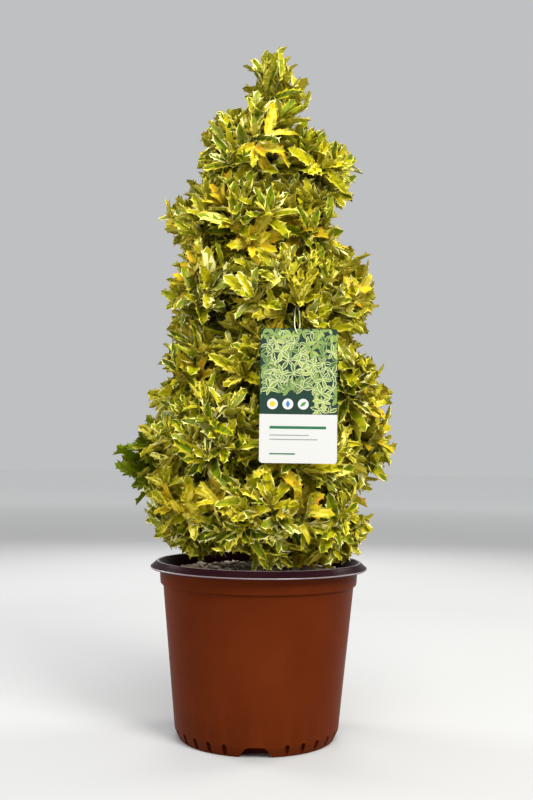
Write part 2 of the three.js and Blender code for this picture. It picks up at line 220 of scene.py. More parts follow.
def bezierAt(points, along):  # three points
    a, b, c = points
    return a * (1 - along) ** 2 + b * 2 * along * (1 - along) + c * along**2


def tangentOf(curveAt, along, step=0.0001):
    low, high = max(along - step, 0), min(along + step, 1)
    return unit(curveAt(high) - curveAt(low))


def goldenTurn(phase, number):  # leaves and twigs follow one another round a stem
    return math.radians(phase + number * massPlan["golden"])


def squareTo(direction):
    side = cross(vec(0, 0, 1), direction)
    if np.linalg.norm(side) < 0.05:
        side = cross(vec(1, 0, 0), direction)
    side = unit(side)
    return side, cross(direction, side)


def leaning(direction, lean, bearing):
    side, other = squareTo(direction)
    aside = side * math.cos(bearing) + other * math.sin(bearing)
    return direction * math.cos(lean) + aside * math.sin(lean)


def selectNothing():
    bpy.ops.object.select_all(action="DESELECT")


def selectOnly(piece):
    selectNothing()
    piece.select_set(True)
    bpy.context.view_layer.objects.active = piece


def applyModifier(piece, kind, **settings):
    selectOnly(piece)
    modifier = piece.modifiers.new(kind.lower(), kind)
    for name, value in settings.items():
        setattr(modifier, name, value)
    bpy.ops.object.modifier_apply(modifier=modifier.name)


def editing(on):  # into edit mode with all selected, or out of it
    bpy.ops.object.mode_set(mode="EDIT" if on else "OBJECT")
    if on:
        bpy.ops.mesh.select_all(action="SELECT")


def settle(piece):  # puts the object at the origin, with its place in its mesh
    selectOnly(piece)
    bpy.ops.object.transform_apply(location=True, rotation=True, scale=True)


def ringPiece(name, rings, sides, way=(0, 0, 1)):
    # a disc pulled up ring by ring: each ring is its middle and its radius, in millimetres
    selectNothing()
    middle, radius = Vector(rings[0][0]) * mm, rings[0][1] * mm
    turned = Vector(way).to_track_quat("Z", "X").to_euler()
    bpy.ops.mesh.primitive_circle_add(
        vertices=sides, radius=radius, fill_type="NGON", location=middle, rotation=turned
    )
    piece = bpy.context.active_object
    piece.name = name
    settle(piece)
    editing(True)
    for place, size in rings[1:]:
        place, size = Vector(place) * mm, size * mm
        bpy.ops.mesh.extrude_region_move(TRANSFORM_OT_translate={"value": place - middle})
        bpy.ops.transform.resize(value=(size / radius,) * 3, center_override=place)
        middle, radius = place, size
    bpy.ops.mesh.select_all(action="SELECT")
    bpy.ops.mesh.normals_make_consistent(inside=False)
    editing(False)
    return piece


def meshPiece(name, points, faces, slots, materials):
    # points in millimetres, blocks of faces of one size, and a material slot for each face
    mesh = bpy.data.meshes.new(name)
    sizes = np.concatenate([np.full(len(block), block.shape[1]) for block in faces])
    loops = np.concatenate([block.ravel() for block in faces])
    starts = np.concatenate([[0], np.cumsum(sizes)[:-1]])
    mesh.vertices.add(len(points))
    mesh.vertices.foreach_set("co", (np.asarray(points) * mm).astype(np.float32).ravel())
    mesh.loops.add(len(loops))
    mesh.loops.foreach_set("vertex_index", loops.astype(np.int32))
    mesh.polygons.add(len(sizes))
    mesh.polygons.foreach_set("loop_start", starts.astype(np.int32))
    mesh.polygons.foreach_set("loop_total", sizes.astype(np.int32))
    mesh.polygons.foreach_set("material_index", np.concatenate(slots).astype(np.int32))
    for material in materials:
        mesh.materials.append(material)
    mesh.update(calc_edges=True)
    mesh.validate()
    piece = bpy.data.objects.new(name, mesh)
    bpy.context.scene.collection.objects.link(piece)
    return piece


def smooth(piece, degrees):
    selectOnly(piece)
    bpy.ops.object.shade_smooth_by_angle(angle=math.radians(degrees))


# where the limbs and masses of foliage lie, by the solids' own rule

trunkPlan = {
    "points": [vec(*p) for p in (
        (0, 0, 213.3), (0, 0, 220), (0, 0, 232), (-5, 4, 350), (3, -2, 500), (7, 3, 640),
        (14, 0, 745), (16, 0, 800),
    )],
    "radii": [14, 10.6, 9.2, 8.2, 6.8, 5.2, 3.8, 2.8],
}
tiers = [
    # name, height, drift, turn, sag, reaches, lifts
    ("skirt", 283, 0, -90, -20, (150, 156, 150, 148, 158), (6, -6, 4, -4, 8)),
    ("low", 369, -2, -54, 4, (158, 188, 168, 196, 160), (-12, 12, -8, -18, 14)),
    ("waist", 463, 9, -90, 10, (146, 168, 150, 152, 164), (10, -14, 12, -8, 0)),
    ("middle", 562, 11, -65, 12, (158, 156, 146, 150), (-20, 14, -12, 9)),
    ("shoulder", 661, -2, -30, 20, (134, 126, 146, 132), (-14, 10, 16, -8)),
    ("upper", 750, 18, -20, 36, (122, 108, 124), (-10, 12, 4)),
]
massPlan = {
    "barrel": 130, "set": 78, "gap": 0.3, "bend": 14, "pastHeart": 0.3, "golden": 137.5,
    "firstSeed": 6100, "leaderSeed": 7000,
    # a mass stays over the pot's lip, and within this radius it may dip towards the soil
    "lip": 224.2, "overSoil": 112,
    "top": {"height": 836, "reach": 66, "depth": 73, "drift": 17, "heartDrop": 6, "widestLean": 1.9},
    "bough": {
        "root": 3.6, "tip": 2.6, "drop": 18, "share": 0.5, "least": 17, "rise": 0.5, "stagger": 7,
        "lowestFoot": 225, "sag": 4,
    },
}
# how far the crown reaches to the left and right of the pot's middle, by height, as seen from the front
crownReach = np.array([
    (226, -130, 140), (256, -138, 142), (278, -148, 150), (292, -152, 116), (318, -174, 140),
    (346, -192, 171), (366, -180, 182), (386, -150, 173), (410, -148, 163), (440, -158, 176),
    (456, -122, 150), (484, -130, 152), (502, -121, 118), (540, -134, 152), (572, -132, 152),
    (592, -116, 150), (610, -126, 136), (634, -133, 118), (656, -124, 82), (688, -139, 103),
    (702, -108, 111), (740, -84, 125), (762, -78, 112), (788, -92, 73), (816, -70, 62),
    (828, -27, 54), (860, -15, 62), (876, -30, 42), (892, -28, 28), (912, 6, 12),
], float)
# on the left no leaf hangs lower than this, give or take a share of its spare reach, so that the soil shows
hemPlan = {"left": -118, "right": -14, "height": 227, "wander": 0.9}
twigPlan = {
    "count": 5, "spread": 0.86, "rise": 46, "short": 26, "shortVary": (0.9, 1.1), "least": 14,
    "rootShift": 0.8,  # how far back along the stem the outermost twig starts
    "peg": {"mass": "middle_1", "from": 0.2, "at": vec(42.1, -117, 538.5), "past": 14},
}


def trunkAtShare(along):
    return splineAt(trunkPlan["points"], along)


def furthest(high, steps, fits):  # the furthest from 0 that still fits, found by halving
    low = 0.0
    for _ in range(steps):
        half = (low + high) / 2
        if fits(half):
            low = half
        else:
            high = half
    return low


def trunkAt(height):
    return trunkAtShare(furthest(1.0, 20, lambda share: trunkAtShare(share)[2] < height))


def trunkRadius(along):
    radii = trunkPlan["radii"]
    return float(np.interp(along * (len(radii) - 1), range(len(radii)), radii))


def ringedMass(tierIndex, i):
    tierName, height, drift, turn, sag, reaches, lifts = tiers[tierIndex]
    bough = massPlan["bough"]
    reach, count = reaches[i], len(reaches)
    bearing = math.radians(turn + i * 360 / count)
    outwards = vec(math.cos(bearing), math.sin(bearing), 0)
    level = vec(drift, 0, height + lifts[i])
    heart = level + outwards * (reach - massPlan["set"])
    inner = trunkAt(heart[2] - bough["drop"])
    away = (heart - inner) * (1, 1, 0)
    reachOut = np.linalg.norm(away)
    root = inner + away / reachOut * max(bough["least"], bough["share"] * reachOut)
    footHeight = root[2] - bough["rise"] * reachOut + (bough["stagger"] if i % 2 else -bough["stagger"])
    foot = trunkAt(max(footHeight, bough["lowestFoot"]))

    def aimAt(aside, above):
        turned = bearing + aside * math.pi / count
        return level + vec(math.cos(turned) * reach, math.sin(turned) * reach, above * twigPlan["rise"])

    sagged = (foot + root) / 2 - (0, 0, bough["sag"])
    return {
        "name": f"{tierName}_{i + 1}", "tier": tierName, "heart": heart, "axis": outwards, "aimAt": aimAt,
        "middle": level - (0, 0, sag), "limits": vec(reach, reach, massPlan["barrel"]),
        "bough": (foot, sagged, root), "seed": massPlan["firstSeed"] + 100 * tierIndex + i,
    }


def leadingMass():
    top = massPlan["top"]
    middle, limits = vec(top["drift"], 0, top["height"]), vec(top["reach"], top["reach"], top["depth"])

    def aimAt(aside, above):
        lean = top["widestLean"] * math.hypot(aside, above)
        return leaning(vec(0, 0, 1), lean, math.atan2(above, aside)) * limits + middle

    return {
        "name": "leader", "tier": "leader", "heart": middle - (0, 0, top["heartDrop"]), "axis": vec(0, 0, 1),
        "aimAt": aimAt, "middle": middle, "limits": limits, "bough": None, "seed": massPlan["leaderSeed"],
    }


masses = [ringedMass(t, i) for t in range(len(tiers)) for i in range(len(tiers[t][5]))] + [leadingMass()]


def addWalls(mass):  # half-way planes to the neighbours
    others = [other for other in masses if other is not mass]
    mass["wallWays"] = np.array([unit(mass["heart"] - other["heart"]) for other in others])
    halves = np.array([(mass["heart"] + other["heart"]) / 2 for other in others])
    mass["wallPlaces"] = (mass["wallWays"] * halves).sum(1) + massPlan["gap"]


for mass in masses:
    addWalls(mass)


def fromFront(points):  # where points are seen on an upright plane through the pot's middle
    place = cameraPlan["place"]
    nearer = -place[1] / (points[:, 1] - place[1])
    return place[0] + (points[:, 0] - place[0]) * nearer, place[2] + (points[:, 2] - place[2]) * nearer


def aboveHem(points, spare):
    aside, heights = fromFront(points)
    lowest = hemPlan["height"] - hemPlan["wander"] * spare
    return not ((aside > hemPlan["left"]) & (aside < hemPlan["right"]) & (heights < lowest)).any()


def withinReach(points, spare):
    aside, heights = fromFront(points)
    left = np.interp(heights, crownReach[:, 0], crownReach[:, 1])
    right = np.interp(heights, crownReach[:, 0], crownReach[:, 2])
    inside = (aside > left - spare) & (aside < right + spare) & (heights < crownReach[-1, 0])
    return bool(inside.all())


def inRoom(mass, points, past=0.0, below=0.0):
    if (((points - mass["middle"]) / mass["limits"]) ** 2).sum(1).max() > 1:
        return False
    overSoil = np.hypot(points[:, 0], points[:, 1]) < massPlan["overSoil"]
    if (points[:, 2] <= massPlan["lip"] - below * overSoil).any():
        return False
    return bool((points @ mass["wallWays"].T - mass["wallPlaces"]).min() > -past)


def roomAlong(mass, start, way):
    return furthest(2 * mass["limits"][0], 12, lambda along: inRoom(mass, (start + way * along)[None]))


def stemOf(mass):
    if mass["bough"]:
        onwards = tangentOf(lambda along: bezierAt(mass["bough"], along), 1)
        root = mass["bough"][2]
    else:
        onwards = tangentOf(trunkAtShare, 1)
        root = trunkAtShare(1)
    start = root + onwards * massPlan["gap"]
    end = mass["heart"] + mass["axis"] * massPlan["pastHeart"] * massPlan["bend"]
    return start, start + onwards * massPlan["bend"], end


def twigsOf(mass, random):  # the solids' own twigs
    stem = stemOf(mass)
    phase = random(0, 360)
    twigs = []
    for i in range(twigPlan["count"]):
        out = twigPlan["spread"] * math.sqrt((i + 0.5) / twigPlan["count"])
        turned = goldenTurn(phase, i)
        start = bezierAt(stem, 1 - twigPlan["rootShift"] * out)
        way = unit(mass["aimAt"](out * math.cos(turned), out * math.sin(turned)) - start)
        length = roomAlong(mass, start, way) - twigPlan["short"] * random(*twigPlan["shortVary"])
        if length > twigPlan["least"]:
            twigs.append((start, start + way * length))
    peg = twigPlan["peg"]
    if mass["name"] == peg["mass"]:
        start = bezierAt(stem, peg["from"])
        twigs.append((start, peg["at"] + unit(peg["at"] - start) * peg["past"]))
    return twigs


# leaves
leafPlan = {
    "length": 51, "width": 0.335, "thick": 0.014, "templates": 20, "roll": 14,
    "folds": (0.16, 0.7), "waves": (0.6, 1.5), "bends": (0.03, 0.5), "curl": 1.6,
    # the tuft at the end of each shoot: outermost and innermost lean and place, and its turn to the light
    "leans": (68, 22), "leanVary": 9, "places": (12, 0.8), "sizes": (0.78, 1.1),
    "scale": 1.0, "perTip": 8, "young": 3, "youngLeans": (5, 26), "youngSizes": (0.6, 0.84),
    "leaderLeans": (54, 12), "leader": {"scale": 1.14, "perTip": 6, "young": 2},
    "plainLift": 0.5, "lift": {"skirt": 0.05, "leader": 0.9},
    # leaves along a twig, in darker tones as painted shade inside the crown, and those round the top of the
    # trunk
    "inner": {"bare": 14, "first": 18, "step": 8, "leans": (52, 82), "sizes": (0.84, 1.08)},
    "trunkLeaves": {"heights": (768, 808, 2.2), "leans": (30, 72), "sizes": (0.9, 1.12)},
    # side shoots, each with its tip this far from any other
    "sideTries": 44, "sideLength": (12, 64), "sideLean": (26, 76), "sideRise": 0.5, "sideShort": (24, 36),
    "sideAlong": (0.15, 0.94), "sideLeast": 6, "apart": 23,
    # how far a leaf may pass its mass's walls and limits, the pot's lip and the crown's reach
    "overlap": 22, "below": 9, "spare": (-8, 10), "tipSpare": 24, "tipInset": 30, "drawBack": 5,
    "probeOut": 0.05,  # how far out of a leaf's sides it is felt for
    "smaller": 0.76,  # the size that a leaf without room is tried at again
}
# base colours, in linear light
leafPaint = {
    "amber": (0.58, 0.30, 0.014), "gold": (0.60, 0.40, 0.016), "yellow": (0.66, 0.55, 0.060),
    "lemon": (0.74, 0.67, 0.140), "cream": (0.80, 0.74, 0.310), "limeGold": (0.46, 0.400, 0.006),
    "lime": (0.315, 0.302, 0.003), "olive": (0.19, 0.170, 0.002), "fresh": (0.165, 0.218, 0.004),
    "green": (0.092, 0.119, 0.003), "deep": (0.042, 0.055, 0.002), "sage": (0.26, 0.27, 0.050),
    "underGold": (0.46, 0.39, 0.035), "underGreen": (0.26, 0.25, 0.016),
}
leafMaterials = []
for name, colour in leafPaint.items():
    leafMaterials.append(plainMaterial(f"leaf_{name}", colour, 0.48, specular=0.06))
paintIndex = {name: i for i, name in enumerate(leafPaint)}
# the leaves of each family of sprays, each with its margin and the two tones of its middle
sprayFamilies = {
    "golden": [("yellow", "lime", "olive"), ("lemon", "limeGold", "lime"), ("yellow", "limeGold", "olive")],
    "pale": [("cream", "sage", "fresh"), ("cream", "limeGold", "lime"), ("lemon", "lime", "green")],
    "bright": [("lemon", "lime", "fresh"), ("cream", "fresh", "green"), ("yellow", "lime", "green")],
    "green": [("lemon", "fresh", "green"), ("cream", "green", "deep"), ("limeGold", "fresh", "green")],
    "ripe": [("gold", "yellow", "limeGold"), ("amber", "gold", "limeGold"), ("yellow", "gold", "lime")],
    "leafy": [("fresh", "fresh", "green"), ("sage", "fresh", "green"), ("fresh", "fresh", "deep")],
    # darker tones for the leaves along the twigs inside the crown: painted shade
    "shaded": [("olive", "green", "deep"), ("limeGold", "green", "deep"), ("lime", "olive", "deep")],
}
familyShares = [("golden", 0.26), ("pale", 0.26), ("bright", 0.20), ("green", 0.15), ("ripe", 0.13)]
leafyPlan = {"left": -126, "low": 290, "high": 410, "share": 0.85}  # the tuft of plain green on the left
undersides = {"leafy": ("fresh", "fresh")}
plainUndersides = ("underGold", "underGreen")
leafShape = {
    # spines on a side, half the width, and the share of it that is green
    "seeds": (4000, 17), "spines": (4, 5, 4), "halves": (0.84, 1.12), "greens": (0.6, 0.84),
    "goldenSides": {0: (1, -1), 4: (1,), 7: (-1,)}, "goldenEach": 14,  # the sides that have no green
    # how the body swells, and how it varies from spine to spine
    "swell": 0.62, "shift": 0.02, "bodies": (0.92, 1.02), "waves": (-0.015, 0.025), "waveVary": (0.5, 1.3),
    "greenVary": (0.9, 1.1),
    # the corners of a spine: how far along each lies, how far out the tip stands and how far it folds
    "inner": 0.01, "before": -0.035, "tip": 0.055, "after": 0.04, "tipOut": 0.042, "tipFold": 0.03,
    "notch": 0.9, "calm": 0.4, "darkShare": 0.6,
}


def leafTemplate(number):
    # one closed leaf for a length of 1: each corner has its place along and across, its fold and its wave.
    # zone 0 is the margin, 1 and 2 are the tones of the middle, and 3 and 4 are the underside
    plan = leafShape
    random = seeded(plan["seeds"][0] + plan["seeds"][1] * number)
    spines = plan["spines"][number % 3]
    half = leafPlan["width"] / 2 * random(*plan["halves"])
    greenShare = random(*plan["greens"])
    golden = plan["goldenSides"].get(number % plan["goldenEach"], ())
    points = [(0, 0, 0, 0), (1, 0, 0, 0)]
    middles, unders = [], []
    for k in range(spines):
        along = (k + 0.75) / (spines + 0.5)
        middles.append(len(points))
        points.append((along, 0, 0, 0))
        unders.append(len(points))
        points.append((along, 0, 0, -leafPlan["thick"]))
    faces = {3: [], 4: []}
    zones = {3: [], 4: []}
    for side in (1, -1):
        inner, before, tips, after = [], [], [], []
        for k in range(spines):
            along = points[middles[k]][0] + random(-plan["shift"], plan["shift"])
            body = half * (4 * along * (1 - along)) ** plan["swell"] * random(*plan["bodies"])
            wave = plan["waves"][(k + (side > 0)) % 2] * random(*plan["waveVary"])
            narrow = body * greenShare * random(*plan["greenVary"])
            out, notch, calm = body + plan["tipOut"], body * plan["notch"], wave * plan["calm"]
            for row, corner in (
                (inner, (along + plan["inner"], side * narrow, narrow, 0.0)),
                (before, (along + plan["before"], side * body, body, calm)),
                (tips, (along + plan["tip"], side * out, body + plan["tipFold"], wave)),
                (after, (along + plan["after"], side * notch, notch, calm)),
            ):
                row.append(len(points))
                points.append(corner)
        made = [((0, middles[0], inner[0]), 1), ((0, inner[0], before[0]), 0), ((0, before[0], unders[0]), 3)]
        for k in range(spines):
            made.append(((inner[k], after[k], tips[k], before[k]), 0))
            made.append(((unders[k], before[k], tips[k], after[k]), 3))
        for k in range(spines - 1):
            dark = random(0, 1) < plan["darkShare"]
            made.append(((middles[k], middles[k + 1], inner[k + 1]), 2 if dark else 1))
            made.append(((middles[k], inner[k + 1], inner[k]), 1))
            made.append(((inner[k], inner[k + 1], before[k + 1], after[k]), 0))
            made.append(((unders[k], after[k], before[k + 1], unders[k + 1]), 4))
        made.append(((middles[-1], 1, inner[-1]), 2))
        made.append(((inner[-1], 1, after[-1]), 0))
        made.append(((unders[-1], after[-1], 1), 4))
        for corners, zone in made:
            if side in golden:
                zone = {1: 0, 4: 3}.get(zone, zone)
            faces[len(corners)].append(corners[::side])
            zones[len(corners)].append(zone)
    return {"points": np.array(points, float), "faces": faces, "zones": zones}


leafTemplates = [leafTemplate(number) for number in range(leafPlan["templates"])]

labelPlan = {
    "width": 91, "height": 158, "thick": 0.8, "corner": 4, "left": -0.9, "front": -142, "bottom": 349.2,
    "holeRadius": 3, "holeDrop": 8, "holeAside": -2.5, "keep": 3,
}
loopPlan = {
    "radius": 0.6, "rings": 96, "sides": 8, "keep": 5, "probes": 60,
    "route": [vec(*p) for p in (
        (0, 0, 2), (-0.5, -2.2, 3.4), (-2.2, -2.3, 7.2), (-3.1, -0.8, 12), (-2.9, 9.4, 24.6),
        (-1.7, 19.6, 35), (0, 24, 41.4), (1.7, 19.6, 35), (2.9, 9.4, 24.2), (3.1, 3, 11.6),
        (1.7, 2.5, 5.8), (0.4, 2.1, 2.7),
    )],
}
holeMiddle = vec(
    labelPlan["left"] + labelPlan["width"] / 2 + labelPlan["holeAside"],
    labelPlan["front"] + labelPlan["thick"] / 2,
    labelPlan["bottom"] + labelPlan["height"] - labelPlan["holeDrop"],
)
loopRoute = [point + holeMiddle for point in loopPlan["route"]]
loopShares = [i / loopPlan["probes"] for i in range(loopPlan["probes"])]
loopPoints = np.array([splineAt(loopRoute, share, closed=True) for share in loopShares])


def clearOfLabel(points):
    plan, keep = labelPlan, labelPlan["keep"]
    low = (plan["left"] - keep, -np.inf, plan["bottom"] - keep)
    high = (
        plan["left"] + plan["width"] + keep,
        plan["front"] + plan["thick"] + keep,
        plan["bottom"] + plan["height"] + keep,
    )
    if ((points > low) & (points < high)).all(1).any():
        return False
    near = np.abs(points[:, None] - loopPoints[None]).max(2)
    return near.min() > loopPlan["keep"]


def leafFits(mass, leaf):
    # felt for at its tip, at its sides and along its middle: without a mass, only the crown's reach, its hem
    # and the label hold the leaf back
    half = leafPlan["width"] / 2 + leafPlan["probeOut"]
    drop = leaf["bend"] / 2
    sides = [(0.5, half, 0.08), (0.5, -half, 0.08), (0.75, half * 0.8, 0), (0.75, -half * 0.8, 0)]
    along = [(share, 0, -drop * share * share) for share in (0.2, 0.4, 0.6, 0.8, 0.9)]
    samples = np.array([(1, 0, -drop), *sides, *along]) * leaf["length"]
    ways = np.array([leaf["heading"], leaf["across"], leaf["over"]])
    points = leaf["root"] + samples @ ways
    tips = points[:5]
    if mass and not inRoom(mass, tips, past=leafPlan["overlap"], below=leafPlan["below"]):
        return False
    spare = leaf["spare"]
    reached = withinReach(tips[:1], spare + leafPlan["tipSpare"]) and withinReach(tips[1:], spare)
    return reached and aboveHem(points, spare) and clearOfLabel(points)


def leafAt(root, way, lean, bearing, length, random):
    heading = leaning(way, lean, bearing)
    across = unit(cross(way, heading))
    over = cross(heading, across)
    roll = math.radians(random(-1, 1) * leafPlan["roll"])
    rolled = across * math.cos(roll) + over * math.sin(roll)
    over = over * math.cos(roll) - across * math.sin(roll)
    return {
        "root": root, "heading": heading, "across": rolled, "over": over, "length": length,
        "fold": random(*leafPlan["folds"]), "wave": random(*leafPlan["waves"]),
        "bend": random(*leafPlan["bends"]),
        "spare": random(*leafPlan["spare"]), "template": int(random(0, leafPlan["templates"])),
        "paint": oneOf(random, 3),
    }


def rosette(mass, start, end, random, tuft):
    way = unit(end - start)
    phase = random(0, 360)
    face = unit(way + vec(0, 0, leafPlan["lift"].get(mass["tier"], leafPlan["plainLift"])))
    leans = leafPlan["leaderLeans" if mass["tier"] == "leader" else "leans"]
    perTip, whole, vary = tuft["perTip"], leafPlan["length"], leafPlan["leanVary"]
    leaves = []
    for i in range(perTip):
        share = i / (perTip - 1)
        lean = math.radians(mix(*leans, share) + random(-vary, vary))
        length = whole * random(*leafPlan["sizes"]) * tuft["scale"]
        root = end - way * mix(*leafPlan["places"], share)
        leaves.append(leafAt(root, face, lean, goldenTurn(phase, i), length, random))
    for i in range(tuft["young"]):
        lean = math.radians(random(*leafPlan["youngLeans"]))
        length = whole * random(*leafPlan["youngSizes"]) * tuft["scale"]
        leaves.append(leafAt(end, face, lean, goldenTurn(phase, perTip + i), length, random))
    return leaves


def innerLeaves(start, end, random):
    plan = leafPlan["inner"]
    way, length = unit(end - start), np.linalg.norm(end - start)
    phase = random(0, 360)
    leaves = []
    for i in range(int((length - plan["bare"]) / plan["step"])):
        root = end - way * (plan["first"] + i * plan["step"])
        lean = math.radians(random(*plan["leans"]))
        size = leafPlan["length"] * random(*plan["sizes"])
        leaves.append(leafAt(root, way, lean, goldenTurn(phase, i), size, random))
    return leaves


def trunkLeaves(random):  # round the top of the trunk, under the leading tuft
    plan = leafPlan["trunkLeaves"]
    leaves = []
    for i, height in enumerate(np.arange(*plan["heights"])):
        lean = math.radians(random(*plan["leans"]))
        length = leafPlan["length"] * random(*plan["sizes"])
        root = trunkAt(float(height))
        leaves.append(leafAt(root, vec(0, 0, 1), lean, goldenTurn(0, i), length, random))
    return leaves


def sideShootsOf(mass, start, end, random, taken):
    # shoots off a twig, each with its tip some way from every other
    way, length = unit(end - start), np.linalg.norm(end - start)
    phase = random(0, 360)
    shoots = []
    for k in range(leafPlan["sideTries"]):
        root = start + way * length * random(*leafPlan["sideAlong"])
        lean = math.radians(random(*leafPlan["sideLean"]))
        heading = leaning(way, lean, goldenTurn(phase, k))
        heading = unit(heading + vec(0, 0, 0.0 if mass["tier"] == "skirt" else leafPlan["sideRise"]))
        longest = random(*leafPlan["sideLength"])
        reach = min(longest, roomAlong(mass, root, heading) - random(*leafPlan["sideShort"]))
        tip = root + heading * reach
        if reach < leafPlan["sideLeast"] or not withinReach(tip[None], -leafPlan["tipInset"]):
            continue
        if np.linalg.norm(np.array(taken) - tip, axis=1).min() > leafPlan["apart"]:
            taken.append(tip)
            shoots.append((root, tip))
    return shoots


def familyOf(place, random):
    plan = leafyPlan
    if place[0] < plan["left"] and plan["low"] < place[2] < plan["high"] and random(0, 1) < plan["share"]:
        return "leafy"
    pick = random(0, 1)
    for name, share in familyShares:
        pick -= share
        if pick < 0:
            return name
    return familyShares[0][0]


def fitted(mass, grown):  # the leaves that have room, some of them a size smaller
    leaves = []
    for leaf, paint in grown:
        for size in (1, leafPlan["smaller"]):
            trial = {**leaf, "length": leaf["length"] * size, "family": paint}
            if leafFits(mass, trial):
                leaves.append(trial)
                break
    return leaves


def growMass(mass):
    random = seeded(mass["seed"])
    twigs = twigsOf(mass, random)
    twigs = [(start, end - unit(end - start) * leafPlan["drawBack"]) for start, end in twigs]
    tuft = leafPlan["leader"] if mass["tier"] == "leader" else leafPlan
    shoots = [(start, end, "twig") for start, end in twigs]
    taken = [end for _, end in twigs]
    for start, end in twigs:
        shoots += [(root, tip, "side") for root, tip in sideShootsOf(mass, start, end, random, taken)]
    leaves = []
    for start, end, kind in shoots:
        family = familyOf(end, random)
        grown = [(leaf, family) for leaf in rosette(mass, start, end, random, tuft)]
        if kind == "twig":
            # the leaves along a twig take the darker family, as painted shade
            grown += [(leaf, "shaded") for leaf in innerLeaves(start, end, random)]
        leaves += fitted(mass, grown)
    if mass["tier"] == "leader":
        leaves += fitted(None, [(leaf, "bright") for leaf in trunkLeaves(random)])
    return shoots, leaves


def bentLeaves(template, leaves):
    # the template's corners set out on each leaf, folded along its middle and bent down towards its tip
    def column(key):
        return np.array([leaf[key] for leaf in leaves])[:, None]

    along, aside, folded, waved = template["points"].T
    length = column("length")
    bend = column("bend") * leafPlan["curl"]
    turn = along * bend
    under = waved <= -leafPlan["thick"]
    above = folded * column("fold") + np.where(under, waved, waved * column("wave"))
    x = (np.sin(turn) / bend + above * np.sin(turn)) * length
    z = (above * np.cos(turn) - (1 - np.cos(turn)) / bend) * length
    y = aside * length
    points = column("root") + x[..., None] * column("heading")
    points = points + y[..., None] * column("across")
    return points + z[..., None] * column("over")


def leavesPiece(name, leaves):
    points, faces, slots = [], [], []
    used = 0
    for number, template in enumerate(leafTemplates):
        group = [leaf for leaf in leaves if leaf["template"] == number]
        if not group:
            continue
        corners = len(template["points"])
        points.append(bentLeaves(template, group).reshape(-1, 3))
        offsets = used + corners * np.arange(len(group))
        table = []
        for leaf in group:
            under = undersides.get(leaf["family"], plainUndersides)
            names = [*sprayFamilies[leaf["family"]][leaf["paint"]], *under]
            table.append([paintIndex[name] for name in names])
        for size in (3, 4):
            blocks = offsets[:, None, None] + np.array(template["faces"][size])[None]
            faces.append(blocks.reshape(-1, size))
            slots.append(np.array(table)[:, template["zones"][size]].ravel())
        used += corners * len(group)
    return meshPiece(name, np.concatenate(points), faces, slots, leafMaterials)


def ringAround(point, across, other, radius, sides):
    angles = [2 * math.pi * k / sides for k in range(sides)]
    return [point + (across * math.cos(angle) + other * math.sin(angle)) * radius for angle in angles]


def tubes(runs, sides):
    # tapered tubes along point rows, closed at both ends: runs is a list of (points, radii)
    points, fours, threes = [], [], []
    for row, radii in runs:
        first, rings = len(points), len(row)
        side, _ = squareTo(unit(row[-1] - row[0]))
        for i, (point, radius) in enumerate(zip(row, radii)):
            way = unit(row[min(i + 1, rings - 1)] - row[max(i - 1, 0)])
            across = unit(side - way * np.dot(side, way))
            points += ringAround(point, across, cross(way, across), radius, sides)
        low, high = len(points), len(points) + 1
        points.extend([row[0], row[-1] + unit(row[-1] - row[-2]) * radii[-1]])
        for k in range(sides):
            after = (k + 1) % sides
            for i in range(rings - 1):
                here = first + i * sides
                fours.append((here + k, here + after, here + sides + after, here + sides + k))
            threes.append((low, first + after, first + k))
            last = first + (rings - 1) * sides
            threes.append((high, last + k, last + after))
    return np.array(points), [np.array(fours), np.array(threes)]


# radius at root and tip, sag, and rings along it
shootShapes = {"stem": (2.4, 1.7, 0, 6), "twig": (1.6, 1.0, 1.5, 5), "side": (1.0, 0.7, 1.0, 5)}


def curvedRun(curve, kind):
    root, tip, _, rings = shootShapes[kind]
    return [bezierAt(curve, s) for s in np.linspace(0, 1, rings)], np.linspace(root, tip, rings)


def twigRuns(shoots, stem):
    runs = [curvedRun(stem, "stem")]
    for start, end, kind in shoots:
        middle = (start + end) / 2 - (0, 0, shootShapes[kind][2])
        runs.append(curvedRun((start, middle, end), kind))
    return runs


twigMaterial = plainMaterial("youngBark", (0.14, 0.13, 0.035), 0.6)
tierNames = [tier[0] for tier in tiers] + ["leader"]
shootTotal, leafTotal = 0, 0
for tierName in tierNames:
    grownLeaves, runs, nodes = [], [], []
    for mass in masses:
        if mass["tier"] != tierName:
            continue
        shoots, leaves = growMass(mass)
        grownLeaves += leaves
        shootTotal += len(shoots)
        runs += twigRuns(shoots, stemOf(mass))
        nodes.append(f"foliage_{mass['name']}")
    leafTotal += len(grownLeaves)
    piece = leavesPiece(f"leaves_{tierName}", grownLeaves)
    smooth(piece, 38)
    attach(piece, "root")
    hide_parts(*nodes)
    twigPoints, twigFaces = tubes(runs, 5)
    twigSlots = [np.zeros(len(block), int) for block in twigFaces]
    twigs = meshPiece(f"twigs_{tierName}", twigPoints, twigFaces, twigSlots, [twigMaterial])
    smooth(twigs, 50)
    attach(twigs, "root")
print("shoots and leaves grown:", shootTotal, leafTotal)

# trunk and boughs
limbPlan = {
    "trunkSides": 18, "trunkRings": 44, "boughSides": 10, "boughRings": 7,
    # bark relief and its grain: the smooth limb is a little thinner, so that the relief stays in bounds
    "relief": 0.9, "boughRelief": 0.54, "grain": 5.0, "trunkShare": 0.96, "boughShare": 0.95,
    "collar": (0.35, 0.3),  # how much thicker a bough is at its root, and over what share of it
}


